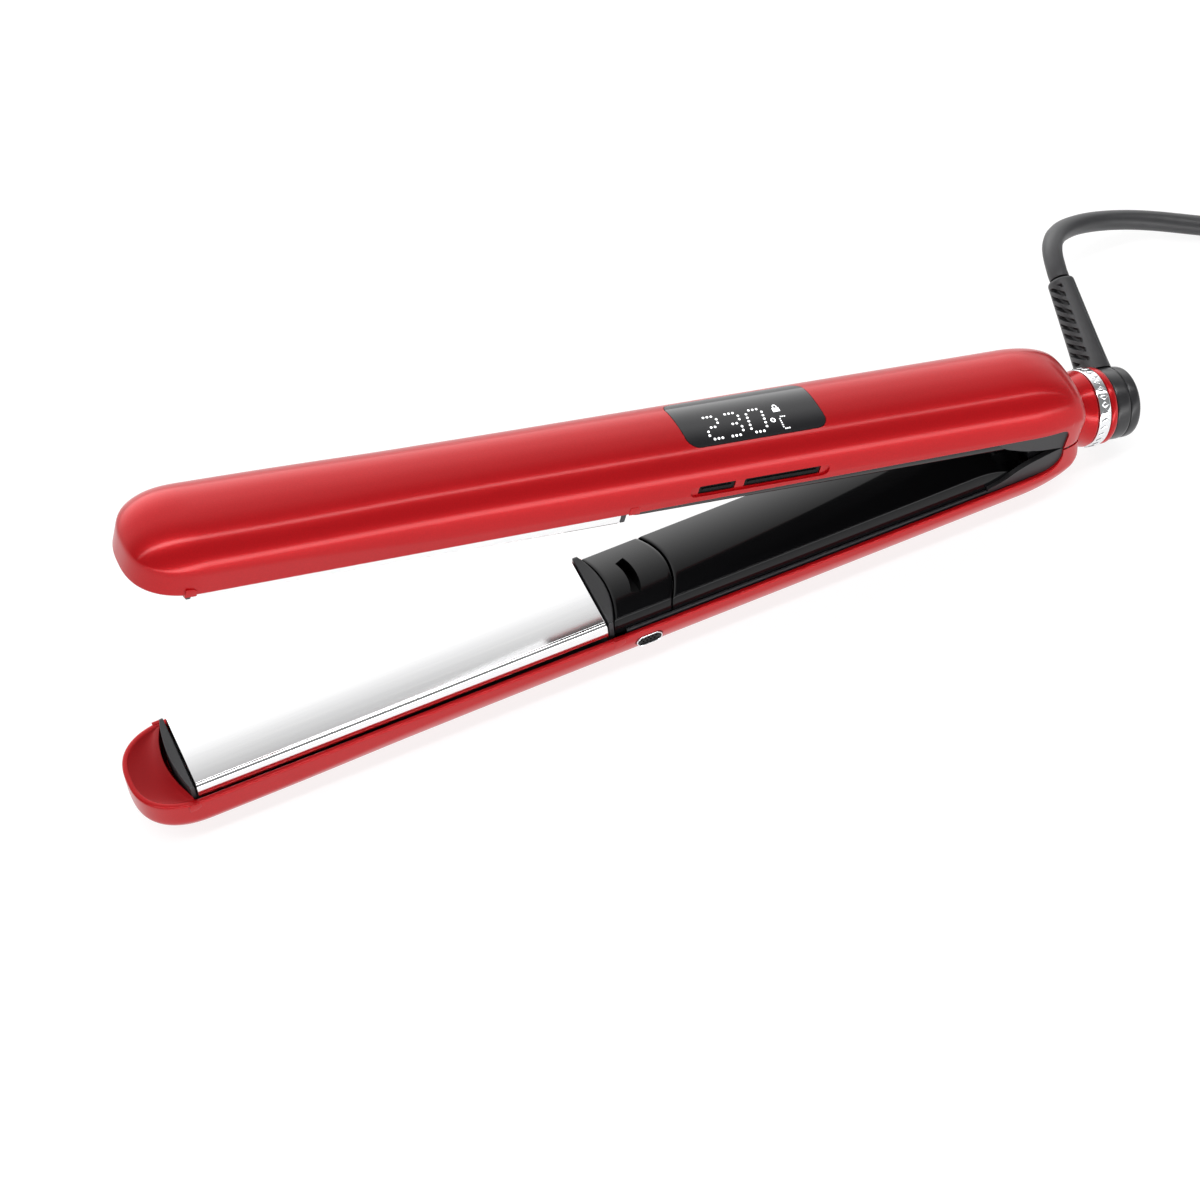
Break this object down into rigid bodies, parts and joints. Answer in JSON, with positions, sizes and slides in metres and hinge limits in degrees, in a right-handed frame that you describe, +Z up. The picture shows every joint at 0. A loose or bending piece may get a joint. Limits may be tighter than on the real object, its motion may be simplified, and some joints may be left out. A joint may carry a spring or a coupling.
{
  "type": "hair straightener",
  "caption": "Two-arm hair straightener with sprung hinge, floating heated plates, display, push keys, swivelling cord outlet and wound mains lead.",
  "frame": {"origin": "on the table, on the flat of the lower shell under the middle of the lower plate", "axes": "+X back to the hinge and the lead, +Y the far side from the keys, +Z up"},
  "size_m": [0.487, 0.1177, 0.1111],
  "materials": {
    "red_lacquer": "satin metallic red lacquer",
    "gloss_black": "high gloss black plastic",
    "matte_black": "fine matte dark grey plastic",
    "polished_plate": "mirror polished plate",
    "bright_chrome": "bright chrome",
    "spring_steel": "plain steel",
    "circuit_board": "green circuit board",
    "lead_rubber": "soft black rubber",
    "silicone": "heat-proof silicone",
    "heater_ceramic": "unglazed ceramic"
  },
  "bodies": {
    "upper_arm": {"upper_shell": "red_lacquer", "neck": "red_lacquer", "chrome_band": "bright_chrome", "neck_ring": "red_lacquer", "display_lens": "gloss_black", "display_board": "circuit_board", "control_board": "circuit_board", "upper_fuse": "heater_ceramic", "upper_liner": "matte_black", "upper_cover": "gloss_black", "upper_front_bar": "matte_black", "upper_rear_bar": "matte_black", "upper_plate_bed": "matte_black", "hinge_barrel_near": "gloss_black", "hinge_barrel_far": "gloss_black", "hinge_pin": "spring_steel", "torsion_spring": "spring_steel", "power_cord": "lead_rubber", "cord_coil": "lead_rubber", "cord_tie": "matte_black", "plug_lead": "lead_rubber", "mains_plug": "lead_rubber", "plug_pin_left": "spring_steel", "plug_pin_right": "spring_steel"},
    "lower_arm": {"lower_shell": "red_lacquer", "lower_liner": "matte_black", "lower_cover": "gloss_black", "outlet_cover": "gloss_black", "lower_knuckle": "matte_black", "lower_front_bar": "matte_black", "lower_rear_bar": "matte_black", "lower_plate_bed": "matte_black", "vent_bezel": "bright_chrome", "vent_grille": "gloss_black", "ozone_module": "gloss_black", "lower_fuse": "heater_ceramic"},
    "upper_plate_float": {"upper_plate": "polished_plate", "upper_heater": "heater_ceramic", "upper_cushion_1": "silicone", "upper_cushion_2": "silicone"},
    "lower_plate_float": {"lower_plate": "polished_plate", "lower_heater": "heater_ceramic", "lower_cushion_1": "silicone", "lower_cushion_2": "silicone"},
    "power_key": {"power_button": "gloss_black"},
    "temperature_key": {"temperature_rocker": "gloss_black"},
    "cord_swivel": {"swivel_drum": "matte_black", "swivel_end_cap": "matte_black", "strain_relief": "lead_rubber"}
  },
  "joints": [
    {"name": "arm_hinge", "type": "hinge", "parent": "upper_arm", "child": "lower_arm", "pos_m": [0.186, 0, 0.0193], "axis": [0, 1, 0], "range_deg": [0, 17.2], "stiffness_Nm_per_rad": 1, "springref_deg": -25.78},
    {"name": "upper_plate_slide", "type": "slide", "parent": "upper_arm", "child": "upper_plate_float", "axis": [0.2957, 0, 0.9553], "range_m": [0, 0.001], "stiffness_N_per_m": 4000, "springref_m": -0.0005},
    {"name": "lower_plate_slide", "type": "slide", "parent": "lower_arm", "child": "lower_plate_float", "axis": [0, 0, -1], "range_m": [0, 0.001], "stiffness_N_per_m": 4000, "springref_m": -0.0005},
    {"name": "power_press", "type": "slide", "parent": "upper_arm", "child": "power_key", "axis": [0, 1, 0], "range_m": [0, 0.0006], "stiffness_N_per_m": 2500, "springref_m": -0.0004},
    {"name": "temperature_rock", "type": "hinge", "parent": "upper_arm", "child": "temperature_key", "pos_m": [0.10715, -0.01255, 0.05407], "axis": [0.2957, 0, 0.9553], "range_deg": [-2.2, 2.2], "stiffness_Nm_per_rad": 0.05},
    {"name": "cord_turn", "type": "hinge", "parent": "upper_arm", "child": "cord_swivel", "pos_m": [0.20816, 0, 0.01244], "axis": [0.9553, 0, -0.2957], "range_deg": [-25, 25]}
  ]
}
